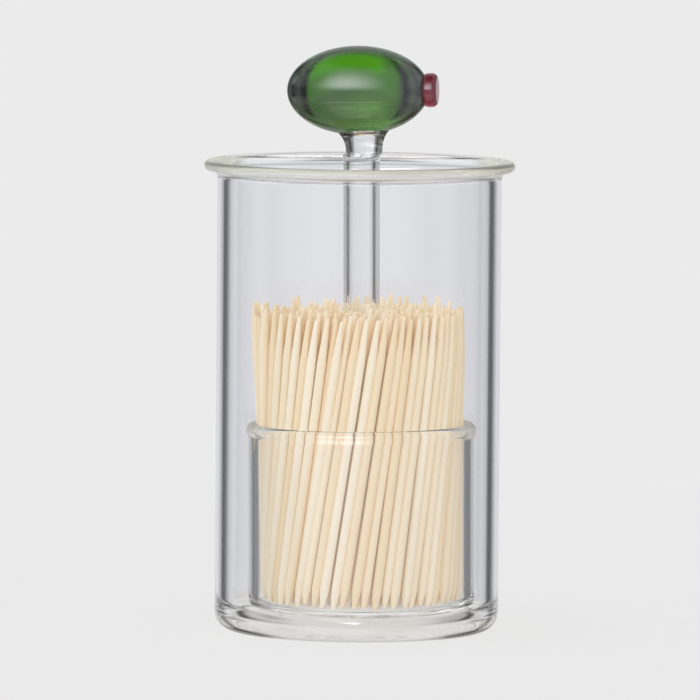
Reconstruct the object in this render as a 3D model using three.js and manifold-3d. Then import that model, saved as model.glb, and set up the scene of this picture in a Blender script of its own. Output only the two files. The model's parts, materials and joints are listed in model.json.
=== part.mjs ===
// Glass toothpick holder, in millimetres, +Z up, with the origin on the jar's axis under its foot.
// A clear jar with a rolled-out lip holds a smaller clear cup. The cup is full of wooden toothpicks
// and has a solid glass stem at its middle, which carries a green glass olive with a red glass end.
// The olive is the handle: it lifts the cup out of the jar with the toothpicks in it.

import * as THREE from 'three';
import { mergeVertices } from 'three/addons/utils/BufferGeometryUtils.js';
import Module from 'manifold-3d';

// Jar: straight wall, thick floor, and a lip where the wall turns outwards to a half-round edge.
const jarHeight = 105.2;
const jarWall = 2.7;
const jarFloor = 2.6;
const jarFootRound = 4.0;
const jarFloorRound = 4.8;
const jarLipRoll = 3.0;

// Cup: it stands loose on the jar's floor, a little to one side. Its rim overhangs in a bead outside
// and is rounded off inside. The jar is as wide as the cup needs, with room round it.
const cupRadius = 25.45;
const cupSideGap = 3.65;
const cupHeight = 43.7;
const cupWall = 2.15;
const cupFloor = 3.2;
const cupFootRound = 4.6;
const cupFloorRound = 2.1;
const cupBeadRadius = 1.45;
const cupBeadOverhang = 0.4;
const cupRimRound = 1.0;
const cupShift = 0.6;
const standingGap = 0.3;

// Stem: a solid glass rod, flared where it is fused to the cup's floor and to the olive. The upper
// flare ends a little above the olive's lowest point, because it wraps the olive's underside.
const stemRadius = 4.1;
const stemFootFlare = 2.2;
const stemHeadFlare = 2.1;
const stemHeadWrap = 0.4;
const fusedGap = 0.3;

// Olive: a solid glass ellipsoid lying near X, cut flat at its red end. That end points a little up
// and a little to the front.
const oliveHalfLength = 16.0;
const oliveRadius = 10.0;
const oliveHeight = 121.15;
const oliveShift = 1.12;
const oliveTilt = THREE.MathUtils.degToRad(1);
const oliveTurn = THREE.MathUtils.degToRad(8);

// Red end piece: a squat bead with rounded edges and a low domed outer face.
const pimentoRadius = 3.85;
const pimentoLength = 2.9;
const pimentoRound = 1.1;
const pimentoDome = 0.5;

// Toothpicks: round wood, tapered at both ends to a blunt tip.
const pickLength = 65.8;
const pickRadius = 1.05;
const pickTaper = 10;
const pickTipRadius = 0.48;
const pickSpacing = 0.15;
const standingPickGap = 0.3;

// Bundle: the toothpicks stand packed round the stem and all lean the same way round, as a swirl.
// The bundle as a whole leans to -X, its feet as far from the axis to +X as its heads to -X.
// The outermost ring is of single toothpicks. Those inside it stand pressed together in three
// groups, on a honeycomb pattern with one toothpick to a cell.
const ringCount = 52;
const ringWallGap = 1.85;
const ringSpread = 1.6;
const swirl = THREE.MathUtils.degToRad(30);
const bundleLean = 0.6;
const groupCount = 3;
const groupGap = 0.3;
const ringGap = 0.3;
const stemClearance = 0.8;
const raisedPick = 10;
const raisedHeight = 4.4;

// Fineness of the round shapes.
const vesselSides = 56;
const stemSides = 24;
const oliveSides = 32;
const pickSides = 8;
const roundSteps = 4;
const lipSteps = 7;
const oliveSteps = 18;

const glassClear = { color: 0xe4e8ea, roughness: 0.03, metalness: 0, transparent: true, opacity: 0.35 };
const glassGreen = { color: 0x3c8a14, roughness: 0.03, metalness: 0, transparent: true, opacity: 0.85 };
const glassRed = { color: 0x7d2230, roughness: 0.05, metalness: 0, transparent: true, opacity: 0.9 };
const wood = { color: 0xe9d3a6, roughness: 0.75, metalness: 0 };

const quarterTurn = Math.PI / 2;
const wasm = await Module();
wasm.setup();

// Points of an arc in a profile, its centre at (r, z), from one angle to another.
function arc(r, z, radius, from, to, steps = roundSteps) {
  const points = [];
  for (let i = 0; i <= steps; i += 1) {
    const angle = from + (to - from) * (i / steps);
    points.push(new THREE.Vector2(r + radius * Math.cos(angle), z + radius * Math.sin(angle)));
  }
  return points;
}

function at(r, z) {
  return new THREE.Vector2(r, z);
}

// Solid of revolution about Z. The profile runs from the foot of the axis, outwards and up.
const yUpToZUp = new THREE.Matrix4().set(0, 0, 1, 0, 1, 0, 0, 0, 0, 1, 0, 0, 0, 0, 0, 1);
const zToX = new THREE.Matrix4().set(0, 0, 1, 0, 1, 0, 0, 0, 0, 1, 0, 0, 0, 0, 0, 1);

function turned(profile, sides) {
  return new THREE.LatheGeometry(profile, sides).applyMatrix4(yUpToZUp);
}

function turnedAlongX(profile, sides) {
  return turned(profile, sides).applyMatrix4(zToX);
}

function solidOf(geometry) {
  const bare = new THREE.BufferGeometry();
  bare.setAttribute('position', geometry.getAttribute('position').clone());
  if (geometry.index) {
    bare.setIndex(geometry.index.clone());
  }
  const merged = mergeVertices(bare);
  const vertProperties = Float32Array.from(merged.getAttribute('position').array);
  const corners = Array.from(merged.index.array);
  const kept = [];
  for (let i = 0; i < corners.length; i += 3) {
    const [a, b, c] = corners.slice(i, i + 3);
    if (a !== b && b !== c && c !== a) {
      kept.push(a, b, c);
    }
  }
  return new wasm.Manifold(new wasm.Mesh({ numProp: 3, vertProperties, triVerts: Uint32Array.from(kept) }));
}

function geometryOf(solid) {
  const mesh = solid.getMesh();
  const geometry = new THREE.BufferGeometry();
  geometry.setAttribute('position', new THREE.BufferAttribute(Float32Array.from(mesh.vertProperties), 3));
  geometry.setIndex(new THREE.BufferAttribute(Uint32Array.from(mesh.triVerts), 1));
  geometry.computeVertexNormals();
  return geometry;
}

function piece(name, geometry, look) {
  const mesh = new THREE.Mesh(geometry, new THREE.MeshStandardMaterial(look));
  mesh.name = name;
  return mesh;
}

const jarRadius = cupRadius + cupSideGap + jarWall;

function makeJar() {
  const innerRadius = jarRadius - jarWall;
  const lipRadius = jarWall / 2;
  const lipCentre = jarRadius - lipRadius + jarLipRoll;
  const rollCentre = jarHeight - lipRadius - jarLipRoll;
  const profile = [
    at(0, 0),
    ...arc(jarRadius - jarFootRound, jarFootRound, jarFootRound, -quarterTurn, 0),
    ...arc(lipCentre, rollCentre, jarLipRoll - lipRadius, 2 * quarterTurn, quarterTurn),
    ...arc(lipCentre, rollCentre + jarLipRoll, lipRadius, -quarterTurn, quarterTurn, lipSteps).slice(1),
    ...arc(lipCentre, rollCentre, jarLipRoll + lipRadius, quarterTurn, 2 * quarterTurn).slice(1),
    ...arc(innerRadius - jarFloorRound, jarFloor + jarFloorRound, jarFloorRound, 0, -quarterTurn),
    at(0, jarFloor),
  ];
  return piece('outer_jar', turned(profile, vesselSides), glassClear);
}

const cupFoot = jarFloor + standingGap;
const cupTop = cupFoot + cupHeight;
const cupInnerRadius = cupRadius - cupWall;
const cupFloorTop = cupFoot + cupFloor;

function makeCup() {
  const beadCentre = cupRadius + cupBeadOverhang - cupBeadRadius;
  const beadHeight = cupTop - cupBeadRadius;
  const outside = -Math.acos((cupRadius - beadCentre) / cupBeadRadius);
  const profile = [
    at(0, cupFoot),
    ...arc(cupRadius - cupFootRound, cupFoot + cupFootRound, cupFootRound, -quarterTurn, 0),
    ...arc(beadCentre, beadHeight, cupBeadRadius, outside, quarterTurn, lipSteps),
    ...arc(cupInnerRadius + cupRimRound, cupTop - cupRimRound, cupRimRound, quarterTurn, 2 * quarterTurn),
    ...arc(cupInnerRadius - cupFloorRound, cupFloorTop + cupFloorRound, cupFloorRound, 0, -quarterTurn),
    at(0, cupFloorTop),
  ];
  return piece('inner_cup', turned(profile, vesselSides), glassClear);
}

// Outline of the olive from its blunt end at -X to the flat cut at +X, as radius and length.
const oliveCut = oliveHalfLength * Math.sqrt(1 - (pimentoRadius / oliveRadius) ** 2);

function oliveProfile(halfLength, radius, end) {
  const last = Math.acos(-end / halfLength);
  const profile = [];
  for (let i = 0; i <= oliveSteps; i += 1) {
    const angle = last * (i / oliveSteps);
    profile.push(at(radius * Math.sin(angle), -halfLength * Math.cos(angle)));
  }
  profile[0].x = 0;
  if (end < halfLength) {
    profile.push(at(0, end));
  }
  profile[profile.length - 1].x = 0;
  return profile;
}

function makeOlive() {
  return piece('olive', turnedAlongX(oliveProfile(oliveHalfLength, oliveRadius, oliveCut), oliveSides), glassGreen);
}

function makePimento() {
  const end = oliveCut + pimentoLength;
  const straight = pimentoRadius - pimentoRound;
  const domeRadius = (straight ** 2 + pimentoDome ** 2) / (2 * pimentoDome);
  const domeEdge = Math.acos(straight / domeRadius);
  const profile = [
    at(0, oliveCut),
    at(straight, oliveCut),
    ...arc(straight, oliveCut + pimentoRound, pimentoRound, -quarterTurn, 0).slice(1),
    ...arc(straight, end - pimentoRound, pimentoRound, 0, quarterTurn),
    ...arc(0, end + pimentoDome - domeRadius, domeRadius, domeEdge, quarterTurn).slice(1),
  ];
  profile[profile.length - 1].x = 0;
  return piece('pimento', turnedAlongX(profile, stemSides), glassRed);
}

// The stem stands on the cup's floor and is cut to the olive's underside, with a fused-joint gap.
function makeStem() {
  const under = oliveHeight - oliveRadius;
  const neck = under + stemHeadWrap - stemHeadFlare;
  const head = under + stemHeadFlare;
  const profile = [
    at(0, cupFloorTop),
    ...arc(stemRadius + stemFootFlare, cupFloorTop + stemFootFlare, stemFootFlare, 3 * quarterTurn, 2 * quarterTurn),
    ...arc(stemRadius + stemHeadFlare, neck, stemHeadFlare, 2 * quarterTurn, quarterTurn),
    at(stemRadius + stemHeadFlare, head),
    at(0, head),
  ];
  const around = oliveProfile(oliveHalfLength + fusedGap, oliveRadius + fusedGap, oliveHalfLength + fusedGap);
  const clear = turnedAlongX(around, oliveSides).rotateY(-oliveTilt).rotateZ(-oliveTurn);
  clear.translate(-oliveShift, 0, oliveHeight);
  const stem = solidOf(turned(profile, stemSides)).subtract(solidOf(clear));
  return piece('lift_stem', geometryOf(stem), glassClear);
}

// Where the toothpicks of the bundle run. A toothpick's place is its distance from the stem's
// axis and its angle, halfway up. Its foot is turned back by half the swirl and its head on.
const pickFoot = cupFloorTop + standingPickGap;
const ringFootRadius = cupInnerRadius - ringWallGap - pickRadius;
const ringHeadRadius = ringFootRadius + ringSpread;
const ringRadius = (ringFootRadius + ringHeadRadius) / 2;
const ringLean = Math.asin((ringRadius * 2 * Math.sin(swirl / 2)) / pickLength);
const pickRise = pickLength * Math.cos(ringLean);

function swirled(radius, angle, share) {
  const foot = radius * (ringFootRadius / ringRadius);
  const head = radius * (ringHeadRadius / ringRadius);
  const low = new THREE.Vector3(foot * Math.cos(angle - swirl / 2), foot * Math.sin(angle - swirl / 2), 0);
  const high = new THREE.Vector3(head * Math.cos(angle + swirl / 2), head * Math.sin(angle + swirl / 2), pickRise);
  const place = low.lerp(high, share).setZ(pickFoot + pickRise * share);
  place.x += bundleLean * (1 - 2 * share);
  return place;
}

function makeRing() {
  const ring = new THREE.Group();
  const profile = [
    at(0, 0),
    at(pickTipRadius, 0),
    at(pickRadius, pickTaper),
    at(pickRadius, pickLength - pickTaper),
    at(pickTipRadius, pickLength),
    at(0, pickLength),
  ];
  for (let i = 0; i < ringCount; i += 1) {
    const angle = (i / ringCount) * Math.PI * 2;
    const foot = swirled(ringRadius, angle, 0);
    const along = swirled(ringRadius, angle, 1).sub(foot).normalize();
    const pick = piece(`toothpick_${String(i + 1).padStart(2, '0')}`, turned(profile, pickSides), wood);
    pick.quaternion.setFromUnitVectors(new THREE.Vector3(0, 0, 1), along);
    pick.position.copy(foot);
    if (i + 1 === raisedPick) {
      pick.position.addScaledVector(along, raisedHeight);
    }
    ring.add(pick);
  }
  return ring;
}

// Cells of the honeycomb inside the ring, each a toothpick that is pressed against six others.
const cellPitch = 2 * pickRadius + pickSpacing;
const cellCorner = cellPitch / Math.sqrt(3);
const waist = Math.cos(swirl / 2);
const groupShift = groupGap / (2 * Math.sin(Math.PI / groupCount));

function honeycomb(group) {
  const nearest = (stemRadius + stemClearance) / waist + cellCorner;
  const furthest = ringRadius - (pickRadius + ringGap) / waist - cellCorner - groupShift;
  const reach = Math.ceil(furthest / cellPitch) + 1;
  const cells = [];
  for (let row = -2 * reach; row <= 2 * reach; row += 1) {
    for (let column = -2 * reach; column <= 2 * reach; column += 1) {
      const x = cellPitch * (column + row / 2);
      const y = cellPitch * row * (Math.sqrt(3) / 2);
      const distance = Math.hypot(x, y);
      const turn = (Math.atan2(y, x) / (2 * Math.PI) + 1) % 1;
      if (distance >= nearest && distance <= furthest && Math.floor(turn * groupCount) === group) {
        cells.push({ x, y });
      }
    }
  }
  return cells;
}

// One group of pressed toothpicks as one closed solid. Neighbours share the edges of their cells,
// so only the tapered ends of each toothpick and the group's outside are surfaces.
function makeGroup(group) {
  const middle = ((group + 0.5) / groupCount) * Math.PI * 2;
  const shiftX = groupShift * Math.cos(middle);
  const shiftY = groupShift * Math.sin(middle);
  const lowShare = pickTaper / pickLength;
  const positions = [];
  const faces = [];
  const corners = new Map();
  const edges = new Map();

  function vertex(x, y, share) {
    const radius = Math.hypot(x + shiftX, y + shiftY);
    const angle = Math.atan2(y + shiftY, x + shiftX);
    positions.push(...swirled(radius, angle, share).toArray());
    return positions.length / 3 - 1;
  }

  function corner(x, y) {
    const key = `${Math.round((x / cellPitch) * 100)},${Math.round((y / cellPitch) * 100)}`;
    if (!corners.has(key)) {
      corners.set(key, [vertex(x, y, lowShare), vertex(x, y, 1 - lowShare)]);
    }
    return corners.get(key);
  }

  for (const { x, y } of honeycomb(group)) {
    const foot = vertex(x, y, 0);
    const head = vertex(x, y, 1);
    const around = [];
    for (let i = 0; i < 6; i += 1) {
      const angle = ((i + 0.5) / 6) * Math.PI * 2;
      around.push(corner(x + cellCorner * Math.cos(angle), y + cellCorner * Math.sin(angle)));
    }
    for (let i = 0; i < 6; i += 1) {
      const [low, high] = around[i];
      const [nextLow, nextHigh] = around[(i + 1) % 6];
      faces.push(foot, nextLow, low, head, high, nextHigh);
      if (!edges.delete(`${nextLow},${low}`)) {
        edges.set(`${low},${nextLow}`, [low, nextLow, nextHigh, low, nextHigh, high]);
      }
    }
  }
  for (const wall of edges.values()) {
    faces.push(...wall);
  }
  const geometry = new THREE.BufferGeometry();
  geometry.setAttribute('position', new THREE.BufferAttribute(Float32Array.from(positions), 3));
  geometry.setIndex(faces);
  geometry.computeVertexNormals();
  return piece(`toothpick_group_${group + 1}`, geometry, wood);
}

const bundle = new THREE.Group();
bundle.add(makeRing());
for (let group = 0; group < groupCount; group += 1) {
  bundle.add(makeGroup(group));
}

const handle = new THREE.Group();
handle.position.set(-oliveShift, 0, oliveHeight);
handle.rotation.set(0, -oliveTilt, -oliveTurn, 'ZYX');
handle.add(makeOlive(), makePimento());

const insert = new THREE.Group();
insert.position.x = cupShift;
insert.add(makeCup(), makeStem(), handle, bundle);

const holder = new THREE.Group();
holder.add(makeJar(), insert);

export default holder;
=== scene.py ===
"""Looks of the glass toothpick holder: a clear jar, a lift-out cup, its olive handle and the toothpicks."""

import json
import math

import bmesh
import bpy
import numpy as np
from mathutils import Matrix, Vector

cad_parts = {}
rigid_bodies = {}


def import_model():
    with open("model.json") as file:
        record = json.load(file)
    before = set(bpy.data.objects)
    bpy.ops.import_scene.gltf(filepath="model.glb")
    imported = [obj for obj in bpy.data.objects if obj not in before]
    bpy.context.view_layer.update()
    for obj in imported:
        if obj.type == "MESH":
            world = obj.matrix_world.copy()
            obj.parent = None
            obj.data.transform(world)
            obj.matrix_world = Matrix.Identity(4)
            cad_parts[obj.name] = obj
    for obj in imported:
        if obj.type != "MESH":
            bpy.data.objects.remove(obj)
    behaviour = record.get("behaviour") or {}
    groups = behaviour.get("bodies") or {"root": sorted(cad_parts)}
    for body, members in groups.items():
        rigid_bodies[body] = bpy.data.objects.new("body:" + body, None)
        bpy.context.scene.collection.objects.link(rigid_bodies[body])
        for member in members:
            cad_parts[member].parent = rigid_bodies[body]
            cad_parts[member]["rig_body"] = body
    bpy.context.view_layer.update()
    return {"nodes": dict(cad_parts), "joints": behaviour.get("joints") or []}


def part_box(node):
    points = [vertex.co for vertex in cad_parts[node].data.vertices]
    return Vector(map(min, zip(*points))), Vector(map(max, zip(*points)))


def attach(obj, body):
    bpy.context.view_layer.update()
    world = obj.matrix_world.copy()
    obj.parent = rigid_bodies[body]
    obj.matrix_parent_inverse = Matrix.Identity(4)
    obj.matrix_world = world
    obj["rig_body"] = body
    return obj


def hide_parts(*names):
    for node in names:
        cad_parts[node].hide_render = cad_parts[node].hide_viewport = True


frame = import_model()

# Sizes of the jar, in metres. Its lip is drawn out a little thinner than its wall.
JAR_RADIUS = 0.0318
JAR_WALL = 0.0027
JAR_FLOOR = 0.0026
JAR_FOOT_ROUND = 0.0040
JAR_FLOOR_ROUND = 0.0048
JAR_LIP_ROLL = 0.0030
JAR_LIP_THICKNESS = 0.0023
JAR_LIP_RISE = 0.0002
JAR_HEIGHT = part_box("outer_jar")[1].z + JAR_LIP_RISE

# Sizes of the cup, which stands on the jar's floor.
CUP_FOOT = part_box("inner_cup")[0].z
CUP_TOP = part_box("inner_cup")[1].z
CUP_AXIS = (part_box("inner_cup")[0].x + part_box("inner_cup")[1].x) / 2
CUP_RADIUS = 0.02545
CUP_WALL = 0.00215
CUP_FLOOR = 0.0032
CUP_FOOT_ROUND = 0.0046
CUP_FLOOR_ROUND = 0.0021
CUP_BEAD_RADIUS = 0.00145
CUP_BEAD_OVERHANG = 0.0004
CUP_RIM_ROUND = 0.0006
CUP_FLOOR_TOP = CUP_FOOT + CUP_FLOOR
CUP_INNER_RADIUS = CUP_RADIUS - CUP_WALL

# The stem is round. Its upper flare is wide along the olive and narrow across it.
STEM_RADIUS = 0.0041
STEM_FOOT_FLARE = 0.0022
STEM_HEAD_RADIUS = 0.0057
STEM_HEAD_DEPTH = 0.0049
STEM_NECK_DROP = 0.0044
STEM_NECK_STEPS = 16
STEM_TOP_SHARES = (0.95, 0.8, 0.6, 0.4, 0.2, 0.0)
STEM_TOP_MARK = 0.001
FUSED_GAP = 0.00005

# The cup and all that it holds lean a little to the left, about a point of their axis.
LEAN = math.radians(0.43)
LEAN_HEIGHT = 0.075
LEANED = (Matrix.Translation((CUP_AXIS, 0, LEAN_HEIGHT)) @ Matrix.Rotation(-LEAN, 4, "Y")
          @ Matrix.Translation((0, 0, -LEAN_HEIGHT)))

# The olive lies near X. Its red end points a little up and a little to the front.
QUARTER = math.pi / 2
OLIVE_HALF_LENGTH = 0.0160
OLIVE_RADIUS = 0.0100
OLIVE_SHIFT = 0.00112
OLIVE_TILT = math.radians(1)
OLIVE_TURN = math.radians(8)
OLIVE_STEPS = 64
OLIVE_CENTRE = CUP_AXIS - OLIVE_SHIFT
OLIVE_HEIGHT = (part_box("olive")[0].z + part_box("olive")[1].z) / 2
UNDER_OLIVE = OLIVE_HEIGHT - OLIVE_RADIUS
OLIVE_PLACE = (Matrix.Translation((OLIVE_CENTRE, 0, OLIVE_HEIGHT))
               @ Matrix.Rotation(-OLIVE_TURN, 4, "Z") @ Matrix.Rotation(QUARTER - OLIVE_TILT, 4, "Y"))

# The red end piece, measured along the olive from the flat that it sits on.
PIMENTO_NECK = 0.00345
PIMENTO_RADIUS = 0.00382
PIMENTO_SWELL = 0.0013
PIMENTO_ROUND = 0.0012
PIMENTO_DOME = 0.00015
PIMENTO_STRAIGHT = 0.0005
OLIVE_CUT = OLIVE_HALF_LENGTH * math.sqrt(1 - (PIMENTO_NECK / OLIVE_RADIUS) ** 2)
PIMENTO_END = OLIVE_CUT + PIMENTO_SWELL + PIMENTO_STRAIGHT + PIMENTO_ROUND

# One toothpick. Three of them can be drawn out of the bundle.
PICK_LENGTH = 0.0658
PICK_RADIUS = 0.00105
PICK_TIP_RADIUS = 0.00044
PICK_TIP_ROUND = 0.0004
PICK_TIP_SHARE = 0.72
PICK_TAPER = 0.010
PICK_FOOT_TAPER = 0.0045
PICK_TAPER_BULGE = 0.56
PICK_SIDES = 8
LOOSE_PICKS = {"left": "toothpick_36", "right": "toothpick_45", "back": "toothpick_20"}

# The bundle: rings of toothpicks round the stem, which all lean the same way round.
RING_COUNTS = [64, 58, 53, 47, 42, 36, 31, 25, 20, 14]
RING_STEP = 0.00188
SWIRL = math.radians(30)
SWIRL_SPREAD = 0.10
FEET_JITTER, HEADS_JITTER = 0.0002, 0.0004
FEET_SHIFT, HEADS_SHIFT = 0.0002, -0.0007
FEET_REACH, HEADS_REACH = 0.0225, 0.0239
PICK_SLOPE = math.radians(9.5)
PICK_RISE = PICK_LENGTH * math.cos(PICK_SLOPE)
PICK_FOOT = CUP_FLOOR_TOP + 0.00005
USUAL_LIFT, MOST_LIFT = 0.0007, 0.0030

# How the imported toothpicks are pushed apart, at a few levels of their length.
LEVELS = [0.0, 0.07, 0.18, 0.34, 0.5, 0.68, 0.85, 1.0]
PACKING_TURNS = 500
PACKING_PACE = 0.35
NEIGHBOUR_REACH = 0.0085
PICK_GAP = 0.00003
LOOSE_PICK_ROOM = 1.02
WALL_START_GAP = 0.0001
WALL_GAP = 0.0005
WALL_HEIGHT = 0.0405
STEM_GAP = 0.0001
STEM_FOOT_ROOM = 0.0015

# The photograph's frame and view.
IMAGE_SIDE = 700
AXIS_COLUMN = 358.3
FOOT_ROW = 630.2
PIXELS_PER_METRE = 4460
CAMERA_DISTANCE = 2.2
CAMERA_ELEVATION = math.radians(4.7)
CAMERA_ROLL = math.radians(0.44)
SENSOR = 0.036

# Fineness of the turned glass.
VESSEL_SIDES = 192
HANDLE_SIDES = 128
ARC_STEPS = 12


def arc(r, z, radius, start, stop, steps=ARC_STEPS):
    """Points of an arc in a profile, as distance from the axis and height."""
    angles = [start + (stop - start) * i / steps for i in range(steps + 1)]
    return [(r + radius * math.cos(a), z + radius * math.sin(a)) for a in angles]


def smoothed_run(points, step=0.004, edge=0.0005):
    """The same profile with points added on its straight runs, near their ends and every few millimetres."""
    run = [points[0]]
    for (r0, z0), (r1, z1) in zip(points, points[1:]):
        length = math.hypot(r1 - r0, z1 - z0)
        if length > 4 * edge:
            inner = length - 2 * edge
            parts = max(1, round(inner / step))
            for i in range(parts + 1):
                share = (edge + inner * i / parts) / length
                run.append((r0 + (r1 - r0) * share, z0 + (z1 - z0) * share))
        run.append((r1, z1))
    return run


def new_object(name, bm):
    mesh = bpy.data.meshes.new(name)
    bm.to_mesh(mesh)
    bm.free()
    for face in mesh.polygons:
        face.use_smooth = True
    piece = bpy.data.objects.new(name, mesh)
    bpy.context.scene.collection.objects.link(piece)
    return piece


def revolve(profile, sides, place=Matrix.Identity(4)):
    """Closed solid of revolution about Z, moved to its place, with its faces outwards."""
    bm = bmesh.new()
    corners = [bm.verts.new((r, 0, z)) for r, z in profile]
    edges = [bm.edges.new(pair) for pair in zip(corners, corners[1:])]
    bmesh.ops.spin(bm, geom=corners + edges, cent=(0, 0, 0), axis=(0, 0, 1), angle=math.tau,
                   steps=sides, use_merge=True)
    bmesh.ops.remove_doubles(bm, verts=bm.verts, dist=1e-6)
    bmesh.ops.recalc_face_normals(bm, faces=bm.faces)
    if bm.calc_volume(signed=True) < 0:
        bmesh.ops.reverse_faces(bm, faces=bm.faces)
    bmesh.ops.transform(bm, matrix=place, verts=bm.verts)
    return bm


def make_jar():
    """The jar. Its wall turns out in one curve to a lip with a round edge."""
    inner = JAR_RADIUS - JAR_WALL
    lip = JAR_LIP_THICKNESS / 2
    lip_centre = JAR_RADIUS - lip + JAR_LIP_ROLL
    roll_height = JAR_HEIGHT - lip - JAR_LIP_ROLL
    profile = [(0, 0)]
    profile += arc(JAR_RADIUS - JAR_FOOT_ROUND, JAR_FOOT_ROUND, JAR_FOOT_ROUND, -QUARTER, 0)
    profile += arc(lip_centre, roll_height, JAR_LIP_ROLL - lip, 2 * QUARTER, QUARTER)
    profile += arc(lip_centre, roll_height + JAR_LIP_ROLL, lip, -QUARTER, QUARTER)[1:]
    widen = (lip_centre - inner) / (JAR_LIP_ROLL + lip)
    mouth = arc(0, roll_height, JAR_LIP_ROLL + lip, QUARTER, 2 * QUARTER)[1:]
    profile += [(lip_centre + r * widen, z) for r, z in mouth]
    profile += arc(inner - JAR_FLOOR_ROUND, JAR_FLOOR + JAR_FLOOR_ROUND, JAR_FLOOR_ROUND, 0, -QUARTER)
    profile += [(0, JAR_FLOOR)]
    return new_object("jar", revolve(smoothed_run(profile), VESSEL_SIDES))


def make_cup():
    """The cup and its stem, which are fused into one piece of glass."""
    bead_centre = CUP_RADIUS + CUP_BEAD_OVERHANG - CUP_BEAD_RADIUS
    bead_height = CUP_TOP - CUP_BEAD_RADIUS
    outside = -math.acos((CUP_RADIUS - bead_centre) / CUP_BEAD_RADIUS)
    rim_round = CUP_INNER_RADIUS + CUP_RIM_ROUND
    floor_round = CUP_INNER_RADIUS - CUP_FLOOR_ROUND
    foot = STEM_RADIUS + STEM_FOOT_FLARE
    neck = UNDER_OLIVE - STEM_NECK_DROP
    profile = [(0, CUP_FOOT)]
    profile += arc(CUP_RADIUS - CUP_FOOT_ROUND, CUP_FOOT + CUP_FOOT_ROUND, CUP_FOOT_ROUND, -QUARTER, 0)
    profile += arc(bead_centre, bead_height, CUP_BEAD_RADIUS, outside, QUARTER)
    profile += arc(rim_round, CUP_TOP - CUP_RIM_ROUND, CUP_RIM_ROUND, QUARTER, 2 * QUARTER)
    profile += arc(floor_round, CUP_FLOOR_TOP + CUP_FLOOR_ROUND, CUP_FLOOR_ROUND, 0, -QUARTER)
    profile += arc(foot, CUP_FLOOR_TOP + STEM_FOOT_FLARE, STEM_FOOT_FLARE, 3 * QUARTER, 2 * QUARTER)
    profile = smoothed_run(profile + [(STEM_RADIUS, neck)])
    for i in range(STEM_NECK_STEPS):
        profile.append((STEM_RADIUS, neck + STEM_NECK_DROP * (i + 1) / STEM_NECK_STEPS))
    profile += [(STEM_RADIUS * share, UNDER_OLIVE + STEM_TOP_MARK) for share in STEM_TOP_SHARES]
    bm = revolve(profile, VESSEL_SIDES)
    bmesh.ops.transform(bm, matrix=LEANED, verts=bm.verts)
    for vert in bm.verts:
        upright = LEANED.inverted() @ vert.co
        if upright.z > neck + 1e-7:
            set_flare_vertex(vert, upright, neck)
    return new_object("lift_out_cup", bm)


def set_flare_vertex(vert, upright, neck):
    """Spread the stem's top into the flare that meets the olive. The vertices set higher form its end."""
    out = Vector((upright.x - CUP_AXIS, upright.y))
    share = min(out.length / STEM_RADIUS, 1.0)
    way = out.normalized() if out.length > 1e-6 else Vector((1.0, 0.0))
    reach = STEM_HEAD_DEPTH + (STEM_HEAD_RADIUS - STEM_HEAD_DEPTH) * way.x ** 2
    if upright.z < UNDER_OLIVE + STEM_TOP_MARK / 2:
        up = (upright.z - neck) / STEM_NECK_DROP
        radius = STEM_RADIUS + (reach - STEM_RADIUS) * up ** 3
        top = olive_underside(vert.co.x - out.x + way.x * reach, way.y * reach) - FUSED_GAP
        vert.co.z += neck + (top - neck) * up - upright.z
    else:
        radius = reach * share
        vert.co.z = olive_underside(vert.co.x - out.x + way.x * radius, way.y * radius) - FUSED_GAP
    vert.co.x += way.x * radius - out.x
    vert.co.y = way.y * radius


def along_olive(x, y):
    """Distance from the olive's middle towards its red end, of numbers or of a material's coordinates."""
    return (x - OLIVE_CENTRE) * math.cos(OLIVE_TURN) - y * math.sin(OLIVE_TURN)


def olive_underside(x, y):
    """Height of the olive's lower surface over a point of the stem."""
    along = along_olive(x, y)
    across = (x - OLIVE_CENTRE) * math.sin(OLIVE_TURN) + y * math.cos(OLIVE_TURN)
    deep = OLIVE_RADIUS * math.sqrt(1 - (along / OLIVE_HALF_LENGTH) ** 2 - (across / OLIVE_RADIUS) ** 2)
    return OLIVE_HEIGHT - deep + along * math.tan(OLIVE_TILT)


def make_olive():
    """The olive: an ellipsoid, cut flat where the red end sits on it."""
    last = math.acos(-OLIVE_CUT / OLIVE_HALF_LENGTH)
    angles = [last * i / OLIVE_STEPS for i in range(OLIVE_STEPS + 1)]
    profile = [(OLIVE_RADIUS * math.sin(a), -OLIVE_HALF_LENGTH * math.cos(a)) for a in angles]
    profile[0] = (0, -OLIVE_HALF_LENGTH)
    profile.append((0, OLIVE_CUT))
    return new_object("olive_handle", revolve(profile, HANDLE_SIDES, OLIVE_PLACE))


def make_pimento():
    """The red end: a neck as wide as the cut, a swell, a rounded edge and a low dome."""
    edge = PIMENTO_RADIUS - PIMENTO_ROUND
    dome = (edge ** 2 + PIMENTO_DOME ** 2) / (2 * PIMENTO_DOME)
    wider = PIMENTO_RADIUS - PIMENTO_NECK
    profile = [(0, OLIVE_CUT)]
    for low, out in arc(0, 0, 1, 0, QUARTER):
        profile.append((PIMENTO_NECK + wider * out, OLIVE_CUT + PIMENTO_SWELL * (1 - low)))
    profile += arc(edge, PIMENTO_END - PIMENTO_ROUND, PIMENTO_ROUND, 0, QUARTER)
    profile += arc(0, PIMENTO_END + PIMENTO_DOME - dome, dome, math.acos(edge / dome), QUARTER)[1:-1]
    profile.append((0, PIMENTO_END + PIMENTO_DOME))
    return new_object("olive_pimento", revolve(profile, HANDLE_SIDES, OLIVE_PLACE))


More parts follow.
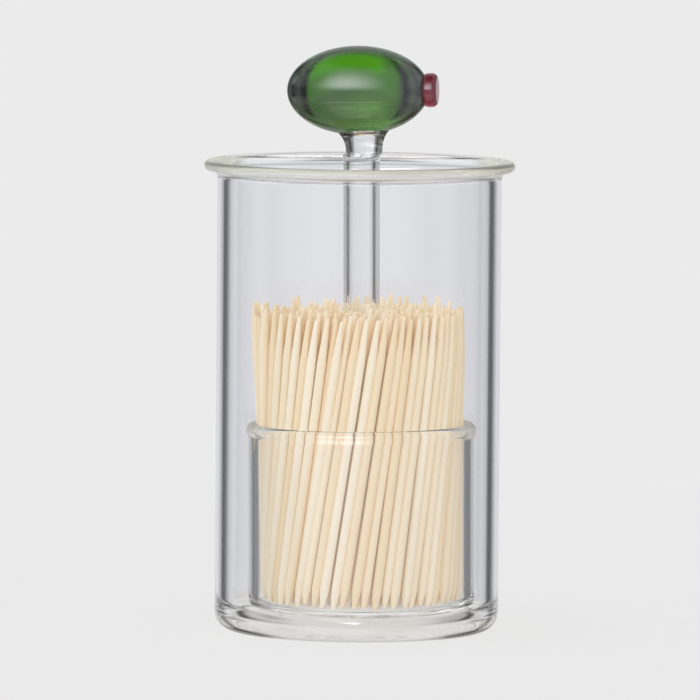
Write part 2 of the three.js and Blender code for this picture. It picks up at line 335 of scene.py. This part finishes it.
def pick_template():
    """One toothpick, standing on the origin, with its ends tapered to blunt tips."""
    def tip(taper):
        middle = PICK_TIP_RADIUS + (PICK_RADIUS - PICK_TIP_RADIUS) * PICK_TAPER_BULGE
        return [(0, 0), (PICK_TIP_RADIUS * PICK_TIP_SHARE, 0), (PICK_TIP_RADIUS, PICK_TIP_ROUND),
                (middle, taper * 0.5), (PICK_RADIUS, taper)]

    head = [(r, PICK_LENGTH - z) for r, z in reversed(tip(PICK_TAPER))]
    bm = revolve(tip(PICK_FOOT_TAPER) + head, PICK_SIDES)
    mesh = bpy.data.meshes.new("pick_template")
    bm.to_mesh(mesh)
    bm.free()
    return mesh


def loose_line(node):
    """Foot and head of a toothpick that has a joint of its own."""
    low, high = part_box(node)
    joint = next(j for j in frame["joints"] if frame["nodes"][node]["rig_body"] == j["child"])
    axis = Vector(joint["axis"])
    middle = (low + high) / 2
    return middle - axis * (PICK_LENGTH / 2), middle + axis * (PICK_LENGTH / 2)


def ring_lines(rng):
    """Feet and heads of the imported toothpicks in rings, as they are before they are pushed apart."""
    feet, heads = [], []
    for number, count in enumerate(RING_COUNTS):
        radius = CUP_INNER_RADIUS - PICK_RADIUS - WALL_START_GAP - number * RING_STEP
        start = rng.uniform(0, math.tau)
        for i in range(count):
            angle = start + math.tau * i / count
            lean = SWIRL * (1 + rng.normal(0, SWIRL_SPREAD)) / 2
            feet.append((radius * math.cos(angle - lean), radius * math.sin(angle - lean)))
            heads.append((radius * math.cos(angle + lean), radius * math.sin(angle + lean)))
    feet, heads = np.array(feet), np.array(heads)
    feet += rng.normal(0, FEET_JITTER, feet.shape)
    heads += rng.normal(0, HEADS_JITTER, heads.shape)
    return feet, heads


def pick_radii(level, free):
    """Radius of every toothpick at a level, with a little room round the loose ones."""
    thin = min(level / (PICK_FOOT_TAPER / PICK_LENGTH), (1 - level) / (PICK_TAPER / PICK_LENGTH))
    radius = PICK_RADIUS if thin >= 1 else PICK_TIP_RADIUS + (PICK_RADIUS - PICK_TIP_RADIUS) * thin
    return np.where(free, radius, PICK_RADIUS * LOOSE_PICK_ROOM)


def level_step(level, at, radius, first, second):
    """How far each toothpick moves at a level: off its neighbours, and in between the stem and the cup."""
    apart = at[first] - at[second]
    distance = np.linalg.norm(apart, axis=1) + 1e-9
    overlap = np.clip(radius[first] + radius[second] + PICK_GAP - distance, 0, None)
    push = apart / distance[:, None] * (overlap * 0.5)[:, None]
    step = np.zeros_like(at)
    np.add.at(step, first, push)
    np.add.at(step, second, -push)
    middle = np.array([FEET_SHIFT * (1 - level) + HEADS_SHIFT * level, 0])
    off = np.linalg.norm(at - middle, axis=1)
    beyond = np.clip(off + radius - (FEET_REACH * (1 - level) + HEADS_REACH * level), 0, None)
    step -= (at - middle) / off[:, None] * beyond[:, None]
    out = np.linalg.norm(at, axis=1)
    inside = np.clip(STEM_RADIUS + STEM_GAP + radius - out, 0, None)
    if level == 0:
        inside = np.clip(STEM_RADIUS + STEM_FOOT_ROOM - out, 0, None)
    if level * PICK_RISE < WALL_HEIGHT:
        beyond = np.clip(out + radius - (CUP_INNER_RADIUS - WALL_GAP), 0, None)
        step -= at / out[:, None] * beyond[:, None]
    step += at / out[:, None] * inside[:, None]
    return step


def packed_lines(rng):
    """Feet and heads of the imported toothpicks, pushed apart. The loose ones keep their places."""
    feet, heads = ring_lines(rng)
    packed = len(feet)
    for node in LOOSE_PICKS.values():
        foot, head = (LEANED.inverted() @ point for point in loose_line(node))
        feet = np.vstack([feet, [foot.x, foot.y]])
        heads = np.vstack([heads, [head.x, head.y]])
    free = np.arange(len(feet)) < packed
    for number in range(PACKING_TURNS):
        if number % 10 == 0:
            middles = (feet + heads) / 2
            gap = np.linalg.norm(middles[:, None] - middles[None], axis=2)
            first, second = np.nonzero(np.triu(gap < NEIGHBOUR_REACH, 1))
        move_feet = np.zeros_like(feet)
        move_heads = np.zeros_like(heads)
        for level in LEVELS:
            at = feet * (1 - level) + heads * level
            step = level_step(level, at, pick_radii(level, free), first, second)
            weight = (1 - level) ** 2 + level ** 2
            move_feet += step * (1 - level) / weight
            move_heads += step * (level / weight)
        feet[free] += PACKING_PACE * move_feet[free]
        heads[free] += PACKING_PACE * move_heads[free]
    return feet[:packed], heads[:packed]


def add_pick(bm, template, foot, head, rng, turned):
    """Add a toothpick from foot to head, turned about its length or not, with its shade on its vertices."""
    shade = rng.uniform(0, 1)
    turn = Matrix.Rotation(rng.uniform(0, math.tau) if turned else 0, 4, "Z")
    lay = (head - foot).normalized().to_track_quat("Z", "Y").to_matrix().to_4x4()
    layer = bm.verts.layers.float.get("pick_shade") or bm.verts.layers.float.new("pick_shade")
    before = len(bm.verts)
    bm.from_mesh(template)
    bm.verts.ensure_lookup_table()
    fresh = bm.verts[before:]
    bmesh.ops.transform(bm, matrix=Matrix.Translation(foot) @ lay @ turn, verts=fresh)
    for vert in fresh:
        vert[layer] = shade


def make_toothpicks():
    """All packed toothpicks as one piece, and the three loose ones by their side of the bundle."""
    rng = np.random.default_rng(7)
    template = pick_template()
    bm = bmesh.new()
    for foot, head in zip(*packed_lines(rng)):
        lift = min(rng.exponential(USUAL_LIFT), MOST_LIFT)
        low = LEANED @ Vector((foot[0], foot[1], PICK_FOOT))
        high = LEANED @ Vector((head[0], head[1], PICK_FOOT + PICK_RISE))
        along = (high - low).normalized()
        low += along * lift
        add_pick(bm, template, low, low + along * PICK_LENGTH, rng, True)
    packed = new_object("packed_toothpicks", bm)
    loose = {}
    for side, node in LOOSE_PICKS.items():
        bm = bmesh.new()
        add_pick(bm, template, *loose_line(node), rng, False)
        loose[side] = new_object(f"loose_toothpick_{side}", bm)
    return packed, loose


class Wire:
    """A socket of a recipe's nodes. Sums on it add Math nodes."""

    def __init__(self, recipe, socket):
        self.recipe = recipe
        self.socket = socket

    def maths(self, operation, other=0.0):
        return self.recipe.maths(operation, self, other)

    def __add__(self, other):
        return self.maths("ADD", other)

    __radd__ = __add__

    def __sub__(self, other):
        return self.maths("SUBTRACT", other)

    def __rsub__(self, other):
        return self.recipe.maths("SUBTRACT", other, self)

    def __mul__(self, other):
        return self.maths("MULTIPLY", other)

    __rmul__ = __mul__


class Recipe:
    """The nodes of one material, or of the world."""

    def __init__(self, owner):
        owner.use_nodes = True
        self.owner = owner
        self.tree = owner.node_tree
        self.tree.nodes.clear()

    def add(self, kind, settings=None, inputs=None, output=0):
        """A node by its type, settings and sockets. Gives its output, or each of a tuple of outputs."""
        node = self.tree.nodes.new(kind)
        for key, value in (settings or {}).items():
            if key == "stops":
                self.set_stops(node.color_ramp, value)
            else:
                setattr(node, key, value)
        for key, value in (inputs or {}).items():
            socket = node.inputs[key]
            if isinstance(value, Wire):
                self.tree.links.new(value.socket, socket)
            else:
                socket.default_value = (*value, 1.0) if socket.type == "RGBA" else value
        if output is None:
            return None
        if isinstance(output, tuple):
            return [Wire(self, node.outputs[name]) for name in output]
        return Wire(self, node.outputs[output])

    def set_stops(self, ramp, stops):
        while len(ramp.elements) < len(stops):
            ramp.elements.new(1.0)
        for element, (position, colour) in zip(ramp.elements, stops):
            element.position = position
            element.color = (*colour, 1.0)

    def maths(self, operation, first, second):
        return self.add("ShaderNodeMath", {"operation": operation}, {0: first, 1: second})

    def step(self, value, low, high):
        """0 below low, 1 above high, smooth between."""
        settings = {"interpolation_type": "SMOOTHSTEP"}
        return self.add("ShaderNodeMapRange", settings, {0: value, 1: low, 2: high})

    def band(self, value, rise, fall):
        """1 between a rise and a fall, each a pair of values, and 0 outside them."""
        return self.step(value, *rise) * (1 - self.step(value, *fall))

    def mix(self, factor, first, second):
        """Mix of two colours."""
        return self.add("ShaderNodeMix", {"data_type": "RGBA"}, {0: factor, 6: first, 7: second}, 2)

    def ramp(self, value, stops):
        """Colour ramp by pairs of position and colour."""
        return self.add("ShaderNodeValToRGB", {"stops": stops}, {0: value})

    def mix_shaders(self, factor, first, second):
        return self.add("ShaderNodeMixShader", None, {0: factor, 1: first, 2: second})

    def split(self, coordinates):
        """X, Y and Z of the Object coordinates, or of the world's direction, which is called Generated."""
        vector = self.add("ShaderNodeTexCoord", output=coordinates)
        return self.add("ShaderNodeSeparateXYZ", None, {0: vector}, ("X", "Y", "Z"))

    def facing(self):
        """0 where a surface is seen face on, 1 where it is seen edge on."""
        return self.add("ShaderNodeLayerWeight", None, {"Blend": 0.5}, "Facing")

    def diffuse(self, colour):
        return self.add("ShaderNodeBsdfDiffuse", None, {"Color": colour})

    def rays(self, *names):
        return self.add("ShaderNodeLightPath", output=names)

    def finish(self, shader, kind="ShaderNodeOutputMaterial"):
        self.add(kind, None, {"Surface": shader}, None)
        return self.owner


def squares(pair):
    return pair[0] ** 2, pair[1] ** 2


def greys(levels):
    """Stops of a colour ramp from pairs of position and level of grey."""
    return [(position, (level, level, level)) for position, level in levels]


WHITE = (1.0, 1.0, 1.0)
GLASS_IOR = 1.47

# Clear glass at the rim of the jar and of the cup, kept off their backs: a tint, the glass's own colour, and
# a milky pale, which is a painted reflection. Depths are below the top, which is tinted fully from the
# second one up.
# The tint ends at the front of the cup, where its rim crosses the toothpicks.
JAR_RIM = {"top": JAR_HEIGHT, "depths": (0.0012, 0.0007), "front": -0.060,
           "tint": (0.90, 0.93, 0.78), "pale_reflection": (0.70, 0.73, 0.58)}
CUP_RIM = {"top": CUP_TOP, "depths": (0.0016, 0.0008), "front": -0.010,
           "tint": (0.97, 0.98, 0.96), "pale_reflection": (0.66, 0.68, 0.64)}
RIM_FRONT_FADE = 0.008
RIM_BACK = (0.006, 0.026)
RIM_SIDES = (0.018, 0.030)
RIM_SIDE_DEPTH = 0.0005
SOFT_DEPTHS = (0.0013, 0.0006)
SOFT_ROUGHNESS = 0.30
RIM_REFLECTION_SHARE = 0.28
RIM_REFLECTION_WHITE = (0.95, 0.95, 0.93)

# Painted shade on the glass walls: their grey by how edge-on they are seen, from 0 to 1.
JAR_EDGE_SHADE = [
    (0.60, (1.0, 1.0, 1.0)), (0.625, (0.62, 0.63, 0.62)), (0.65, (0.36, 0.37, 0.37)),
    (0.675, (0.28, 0.29, 0.29)), (0.695, (0.36, 0.37, 0.37)), (0.72, (0.70, 0.71, 0.70)),
    (0.75, (1.0, 1.0, 1.0))]
CUP_EDGE_SHADE = [
    (0.565, (1.0, 1.0, 1.0)), (0.59, (0.25, 0.26, 0.25)), (0.614, (0.16, 0.17, 0.165)),
    (0.66, (0.29, 0.30, 0.29)), (0.69, (0.34, 0.35, 0.34)), (0.715, (0.55, 0.56, 0.55)),
    (0.74, (1.0, 1.0, 1.0))]
WALL_BLEND = 0.0001

# The stem's painted shade: its zone round the axis, its grey by how edge-on it is seen, and the dark sides
# of its flare.
STEM_ZONE = (0.0200, 0.0205)
STEM_START = (CUP_FLOOR_TOP + 0.004, CUP_FLOOR_TOP + 0.006)
STEM_EDGE_SHADE = [(0.0, 0.93), (0.09, 0.92), (0.15, 0.84), (0.27, 0.84), (0.32, 0.97), (0.36, 0.95), (0.40, 0.86),
             (0.55, 0.90), (0.65, 1.0)]
FLARE_START = (UNDER_OLIVE - 0.0055, UNDER_OLIVE - 0.0035)
FLARE_FACING = (0.13, 0.20)
FLARE_SHADE_GREY = (0.19, 0.20, 0.19)

# Painted shade on the jar's foot: a grey outline, wider and dark at both sides. Painted shade under its lip:
# a thin grey ring.
FOOT_HEIGHT = (0.0007, 0.0015)
FOOT_FACING = (0.47, 0.70)
FOOT_SIDES = (0.014, 0.021)
FOOT_SIDE_RISE = 0.0006
FOOT_SIDE_FACING = 0.05
FOOT_SHADE_GREY = (0.56, 0.58, 0.57)
FOOT_SIDE_SHADE_GREY = (0.012, 0.013, 0.012)
LIP_RING_HEIGHT = JAR_HEIGHT - 0.0031
LIP_RING_WIDTH = 0.0003
LIP_RING_SHADE = (0.42, 0.43, 0.40)


def glass_shader(recipe, colour, roughness=0.0):
    """Refracting glass that lets soft light straight through, so what stands in it is lit evenly."""
    shader = recipe.add("ShaderNodeBsdfPrincipled", None, {
        "Base Color": colour, "Roughness": roughness, "IOR": GLASS_IOR, "Transmission Weight": 1.0})
    soft = recipe.add("ShaderNodeBsdfTransparent", None, {"Color": WHITE})
    diffuse, shadow = recipe.rays("Is Diffuse Ray", "Is Shadow Ray")
    return recipe.mix_shaders(diffuse.maths("MAXIMUM", shadow), shader, soft)


def clear_glass(name, rim, edge_shade_stops, wall_middle):
    """Clear glass. Painted shade: grey where it is seen edge on. At its rim: a tint of its own and a milky
    pale that is a painted reflection.
    """
    recipe = Recipe(bpy.data.materials.new(name))
    x, y, z = recipe.split("Object")
    right = x - CUP_AXIS
    from_axis = right * right + y * y
    facing = recipe.facing()
    outer = recipe.step(from_axis, (wall_middle - WALL_BLEND) ** 2, (wall_middle + WALL_BLEND) ** 2)
    # Painted shade: grey by how edge-on the wall is seen.
    colour = recipe.mix(outer, WHITE, recipe.ramp(facing, edge_shade_stops))
    # Painted shade: the grey outline of the jar's foot.
    colour = painted_foot_shade(recipe, colour, x, z, facing)
    beyond_stem = recipe.step(from_axis, *squares(STEM_ZONE))
    # Painted shade: the greys of the stem and of its flare.
    colour = painted_stem_shade(recipe, colour, 1 - beyond_stem, z, facing)
    # Painted shade: a thin grey ring under the lip.
    ring = recipe.band(z, (LIP_RING_HEIGHT - LIP_RING_WIDTH, LIP_RING_HEIGHT),
                       (LIP_RING_HEIGHT, LIP_RING_HEIGHT + LIP_RING_WIDTH))
    colour = recipe.mix(ring * outer, colour, LIP_RING_SHADE)
    # Painted reflection: the milky pale at the rim, kept off its back. Its tint is the glass's own colour.
    front_zone = beyond_stem * (1 - recipe.step(y, *RIM_BACK))
    front_zone = front_zone * recipe.step(y, rim["front"] - RIM_FRONT_FADE, rim["front"])
    height = z - rim["top"] + recipe.step(x * x, *squares(RIM_SIDES)) * RIM_SIDE_DEPTH
    low, full = rim["depths"]
    tinted = front_zone * recipe.step(height, -low, -full)
    soft = front_zone * recipe.step(height, -low - SOFT_DEPTHS[0], -low - SOFT_DEPTHS[1])
    glass = glass_shader(recipe, recipe.mix(tinted, colour, rim["tint"]), soft * SOFT_ROUGHNESS)
    rim_reflection = recipe.mix_shaders(tinted, recipe.diffuse(RIM_REFLECTION_WHITE), recipe.diffuse(rim["pale_reflection"]))
    return recipe.finish(recipe.mix_shaders(soft * RIM_REFLECTION_SHARE, glass, rim_reflection))


def painted_foot_shade(recipe, colour, x, z, facing):
    """The colour with the painted shade of the jar's foot: a grey outline."""
    aside = recipe.step(x * x, *squares(FOOT_SIDES))
    low = 1 - recipe.step(z - aside * FOOT_SIDE_RISE, *FOOT_HEIGHT)
    edge_on = recipe.step(facing + aside * FOOT_SIDE_FACING, *FOOT_FACING)
    return recipe.mix(low * edge_on, colour, recipe.mix(aside, FOOT_SHADE_GREY, FOOT_SIDE_SHADE_GREY))


def painted_stem_shade(recipe, colour, stem, z, facing):
    """The colour with the painted shade of the stem and of its flare: greys."""
    colour = recipe.mix(stem * recipe.step(z, *STEM_START), colour, recipe.ramp(facing, greys(STEM_EDGE_SHADE)))
    flare = stem * recipe.step(z, *FLARE_START) * recipe.step(facing, *FLARE_FACING)
    return recipe.mix(flare, colour, FLARE_SHADE_GREY)


# Colours of the olive and where they lie: painted shade at both ends and in the outline, painted light in
# the upper half and in a vivid band near the top.
GREEN_CORE = (0.075, 0.16, 0.05)
GREEN_UPPER_PAINTED_LIGHT = (0.095, 0.27, 0.052)
GREEN_VIVID_PAINTED_LIGHT = (0.093, 0.61, 0.003)
GREEN_END_PAINTED_SHADE = (0.06, 0.07, 0.07)
GREEN_OUTLINE_PAINTED_SHADE = (0.012, 0.045, 0.010)
# A grey diffuse veil at the red end, which is a painted reflection.
OLIVE_REFLECTION_GREY = (0.55, 0.58, 0.62)
OLIVE_REFLECTION_SHARE = 0.05
OLIVE_ENDS = (0.0095, 0.0110)
UPPER_START = (-0.0006, 0.0022)
VIVID_START = (0.0040, 0.0064)
VIVID_STOP = (0.0078, 0.0088)
VIVID_RIGHT = (0.0050, 0.0078)
VIVID_CURVE = 25
OUTLINE_FACING = (0.40, 0.56)


def green_glass():
    """Green glass, with painted shade near both ends and where it is seen edge on, and painted light in its
    upper half and in a band near the top.
    """
    recipe = Recipe(bpy.data.materials.new("green_glass"))
    x, y, z = recipe.split("Object")
    along = along_olive(x, y)
    above = z - OLIVE_HEIGHT + along * along * VIVID_CURVE
    painted_light_band = recipe.band(above, VIVID_START, VIVID_STOP) * (1 - recipe.step(along, *VIVID_RIGHT))
    # Painted light: a brighter upper half and a vivid band near the top.
    colour = recipe.mix(recipe.step(above, *UPPER_START), GREEN_CORE, GREEN_UPPER_PAINTED_LIGHT)
    colour = recipe.mix(painted_light_band, colour, GREEN_VIVID_PAINTED_LIGHT)
    # Painted shade: dark grey near both ends.
    colour = recipe.mix(recipe.step(along.maths("ABSOLUTE"), *OLIVE_ENDS), colour, GREEN_END_PAINTED_SHADE)
    # Painted shade: a dark outline where the olive is seen edge on.
    painted_outline = recipe.step(recipe.facing(), *OUTLINE_FACING)
    glass = glass_shader(recipe, recipe.mix(painted_outline, colour, GREEN_OUTLINE_PAINTED_SHADE))
    # Painted reflection: a grey diffuse veil at the red end.
    olive_reflection = recipe.step(along, *OLIVE_ENDS) * (1 - painted_outline) * OLIVE_REFLECTION_SHARE
    return recipe.finish(recipe.mix_shaders(olive_reflection, glass, recipe.diffuse(OLIVE_REFLECTION_GREY)))


RED = (0.19, 0.022, 0.04)
# The pale diffuse on the flat end is a painted reflection.
RED_END_REFLECTION = (0.62, 0.44, 0.47)
END_REFLECTION_SHARE = 0.7
END_REFLECTION_START = (PIMENTO_END - 0.00012, PIMENTO_END - 0.00002)


def red_glass():
    """Dark red glass. Its flat end is pale: a painted reflection."""
    recipe = Recipe(bpy.data.materials.new("red_glass"))
    x, y, z = recipe.split("Object")
    along = along_olive(x, y) + (z - OLIVE_HEIGHT) * math.tan(OLIVE_TILT)
    # Painted reflection: the pale end.
    ground = recipe.step(along, *END_REFLECTION_START) * END_REFLECTION_SHARE
    return recipe.finish(recipe.mix_shaders(ground, glass_shader(recipe, RED), recipe.diffuse(RED_END_REFLECTION)))


BAMBOO_SHADES = [(0.0, (0.91, 0.73, 0.46)), (0.35, (0.945, 0.80, 0.56)), (1.0, (0.97, 0.87, 0.67))]
BAMBOO_ROUGHNESS = 0.7


def bamboo_wood():
    """Pale dry wood, each toothpick in a shade of its own."""
    recipe = Recipe(bpy.data.materials.new("bamboo"))
    shade = recipe.add("ShaderNodeAttribute", {"attribute_name": "pick_shade"}, None, "Fac")
    inputs = {"Base Color": recipe.ramp(shade, BAMBOO_SHADES), "Roughness": BAMBOO_ROUGHNESS}
    return recipe.finish(recipe.add("ShaderNodeBsdfPrincipled", None, inputs))


def dress_glass():
    """The four pieces of glass, each with its material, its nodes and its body."""
    clear = clear_glass("jar_glass", JAR_RIM, JAR_EDGE_SHADE, JAR_RADIUS - JAR_WALL / 2)
    cup_clear = clear_glass("cup_glass", CUP_RIM, CUP_EDGE_SHADE, CUP_RADIUS - CUP_WALL / 2)
    green = green_glass()
    red = red_glass()
    jar = make_jar()
    cup = make_cup()
    olive = make_olive()
    pimento = make_pimento()
    for piece, look in ((jar, clear), (cup, cup_clear), (olive, green), (pimento, red)):
        piece.data.materials.append(look)
    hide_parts("outer_jar")
    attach(jar, "jar")
    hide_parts("inner_cup", "lift_stem")
    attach(cup, "insert")
    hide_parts("olive")
    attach(olive, "insert")
    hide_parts("pimento")
    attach(pimento, "insert")


def dress_toothpicks():
    """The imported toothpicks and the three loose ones, all in the same wood."""
    bamboo = bamboo_wood()
    packed, loose = make_toothpicks()
    packed_nodes = [n for n in frame["nodes"] if n.startswith("toothpick") and n not in LOOSE_PICKS.values()]
    packed.data.materials.append(bamboo)
    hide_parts(*packed_nodes)
    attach(packed, "insert")
    for side, piece in loose.items():
        piece.data.materials.append(bamboo)
        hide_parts(LOOSE_PICKS[side])
        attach(piece, f"loose_pick_{side}")


# Brightness of the plain background, as the camera sees it.
PALE = 0.8308

# Brightness round the horizon by direction in degrees, 0 straight behind the object and 90 to its right.
SURROUNDINGS = [
    (-180, 1.01), (-150, 1.05), (-138, 1.15), (-126, 0.77), (-116, 0.43), (-104, 0.20), (-96, 0.60),
    (-84, 0.60), (-70, 0.20), (-60, 0.43), (-52, 0.53), (-44, 0.51), (-37, 0.28), (-34, 0.05), (-28, 0.08),
    (-24, 0.60), (-15, 0.78), (0, 0.72), (11, 0.70), (20, 0.68), (27, 0.55), (31, 0.08), (36, 0.02),
    (41, 0.35), (50, 0.41), (62, 0.45), (76, 0.56), (90, 0.60), (110, 1.09), (130, 0.76), (150, 0.96),
    (180, 1.01)]
RAMP_TOP = 1.25

# Where one brightness passes into the next, by height as the sine of its angle over the horizon.
GROUND_END = (-0.90, -0.70)
SKY_START = (0.45, 0.60)
ZENITH_START = (0.80, 0.95)
GROUND_LEVEL = 0.65
ZENITH_DARKER = 0.70

# Lamp panel and pale table in front of the object, by turns from the direction straight behind the camera.
PANEL_LEFT = (-0.180, -0.070)
PANEL_RIGHT = (-0.065, 0.075)
PANEL_FOOT = (-0.02, 0.27)
PANEL_TOP = (0.33, 0.95)
PANEL_LEVEL = 7.4
TABLE_LEFT = (-0.170, -0.110)
TABLE_RIGHT = (0.005, 0.075)
TABLE_EDGE_FOOT = (-0.50, -0.48)
TABLE_EDGE_TOP = (-0.47, -0.45)
TABLE_EDGE_LEVEL = 2.3
TABLE_LEVEL = 0.9

# Pale walls at both sides, over and under the height of the object.
WALL_START = (0.75, 0.85)
WALL_UPPER = (0.10, 0.20)
WALL_LOWER = (-0.30, -0.20)
WALL_LEVEL = 0.5

# The even light on plain surfaces, a little stronger from above and from the left front.
LAMP_X, LAMP_Y = -0.64, -0.77
SOFT_LEVEL = 0.85
SOFT_FROM_ABOVE = 0.15
SOFT_FROM_LAMP = 0.30
WARM_LAMP, COOL_LAMP = (1.04, 0.98, 0.91), (0.98, 1.0, 1.05)
WARM_BELOW, COOL_ABOVE = (1.02, 1.0, 0.95), (0.985, 0.99, 1.04)
COOL_START = (-0.45, -0.10)


def studio_level(recipe, x, y, z):
    """Brightness of the studio that glass shows, by direction."""
    behind = x.maths("ARCTAN2", y) * (1 / math.tau) + 0.5
    levels = [(degrees / 360 + 0.5, level / RAMP_TOP) for degrees, level in SURROUNDINGS]
    around = recipe.ramp(behind, greys(levels)) * RAMP_TOP
    ground = 1 - recipe.step(z, *GROUND_END)
    sky = recipe.step(z, *SKY_START)
    zenith = recipe.step(z, *ZENITH_START)
    level = around * (1 - ground) * (1 - sky) + ground * GROUND_LEVEL + sky * (PALE - ZENITH_DARKER * zenith)
    in_front = x.maths("ARCTAN2", 0 - y) * (1 / math.tau)
    panel = recipe.band(in_front, PANEL_LEFT, PANEL_RIGHT) * recipe.band(z, PANEL_FOOT, PANEL_TOP)
    panel = panel * PANEL_LEVEL
    edge = recipe.band(z, TABLE_EDGE_FOOT, TABLE_EDGE_TOP) * TABLE_EDGE_LEVEL
    table = (1 - recipe.step(z, *TABLE_EDGE_FOOT)) * TABLE_LEVEL
    table = recipe.band(in_front, TABLE_LEFT, TABLE_RIGHT) * (edge + table)
    over_and_under = recipe.step(z, *WALL_UPPER) + 1 - recipe.step(z, *WALL_LOWER)
    walls = recipe.step(x.maths("ABSOLUTE"), *WALL_START) * over_and_under * WALL_LEVEL
    return level + panel + table + walls


def make_world():
    """A pale studio. Only glass and reflections see its bright and dark sides; the camera sees it plain."""
    world = bpy.data.worlds.new("studio")
    bpy.context.scene.world = world
    world.cycles.sampling_method = "NONE"
    recipe = Recipe(world)
    x, y, z = recipe.split("Generated")
    camera, depth = recipe.rays("Is Camera Ray", "Diffuse Depth")
    diffuse = recipe.step(depth, 0.4, 0.6)
    from_lamp = x * LAMP_X + y * LAMP_Y
    soft = SOFT_LEVEL + z * SOFT_FROM_ABOVE + from_lamp * SOFT_FROM_LAMP
    strength = studio_level(recipe, x, y, z) * (1 - diffuse) + soft * diffuse
    strength = strength * (1 - camera) + camera * PALE
    tint = recipe.mix(recipe.step(z, *COOL_START), WARM_BELOW, COOL_ABOVE)
    tint = recipe.mix(diffuse, tint, recipe.mix(recipe.step(from_lamp, -1.0, 1.0), WARM_LAMP, COOL_LAMP))
    tint = recipe.mix(camera, tint, WHITE)
    shader = recipe.add("ShaderNodeBackground", None, {"Color": tint, "Strength": strength})
    recipe.finish(shader, "ShaderNodeOutputWorld")


FLOOR_RADIUS = 0.35
FLOOR_SIDES = 96
FLOOR_COLOUR = (0.83, 0.835, 0.86)
FLOOR_GLOW_SHARE = 0.80


def make_floor():
    """A pale floor that keeps the object's shadow. Glass looks through it at the studio."""
    bm = bmesh.new()
    bmesh.ops.create_circle(bm, cap_ends=True, segments=FLOOR_SIDES, radius=FLOOR_RADIUS)
    floor = new_object("floor", bm)
    recipe = Recipe(bpy.data.materials.new("floor"))
    glow = recipe.add("ShaderNodeEmission", None, {"Color": (PALE, PALE, PALE), "Strength": 1.0})
    camera, refracted, mirrored = recipe.rays("Is Camera Ray", "Is Transmission Ray", "Is Glossy Ray")
    shader = recipe.mix_shaders(camera * FLOOR_GLOW_SHARE, recipe.diffuse(FLOOR_COLOUR), glow)
    clear = recipe.add("ShaderNodeBsdfTransparent")
    shader = recipe.mix_shaders(refracted.maths("MAXIMUM", mirrored), shader, clear)
    floor.data.materials.append(recipe.finish(shader))


def make_camera():
    """The photograph's view: far away, a little above the object and a little rolled."""
    middle = IMAGE_SIDE / 2
    target = Vector(((middle - AXIS_COLUMN) / PIXELS_PER_METRE, 0, (FOOT_ROW - middle) / PIXELS_PER_METRE))
    back = Vector((0, -math.cos(CAMERA_ELEVATION), math.sin(CAMERA_ELEVATION)))
    camera = bpy.data.objects.new("camera", bpy.data.cameras.new("camera"))
    camera.data.sensor_width = SENSOR * 1000
    camera.data.lens = SENSOR * 1000 * PIXELS_PER_METRE * CAMERA_DISTANCE / IMAGE_SIDE
    camera.data.clip_end = 100
    camera.location = target + back * CAMERA_DISTANCE
    facing = (-back).to_track_quat("-Z", "Y").to_matrix().to_4x4()
    camera.rotation_euler = (facing @ Matrix.Rotation(CAMERA_ROLL, 4, "Z")).to_euler()
    bpy.context.scene.collection.objects.link(camera)
    bpy.context.scene.camera = camera


def set_scene():
    """Enough bounces for light to pass through both vessels and what they hold."""
    scene = bpy.context.scene
    scene.view_settings.view_transform = "Standard"
    scene.cycles.max_bounces = 32
    scene.cycles.transmission_bounces = 32
    scene.cycles.glossy_bounces = 16
    scene.cycles.diffuse_bounces = 10
    scene.cycles.transparent_max_bounces = 16


make_camera()
make_world()
make_floor()
set_scene()
dress_glass()
dress_toothpicks()
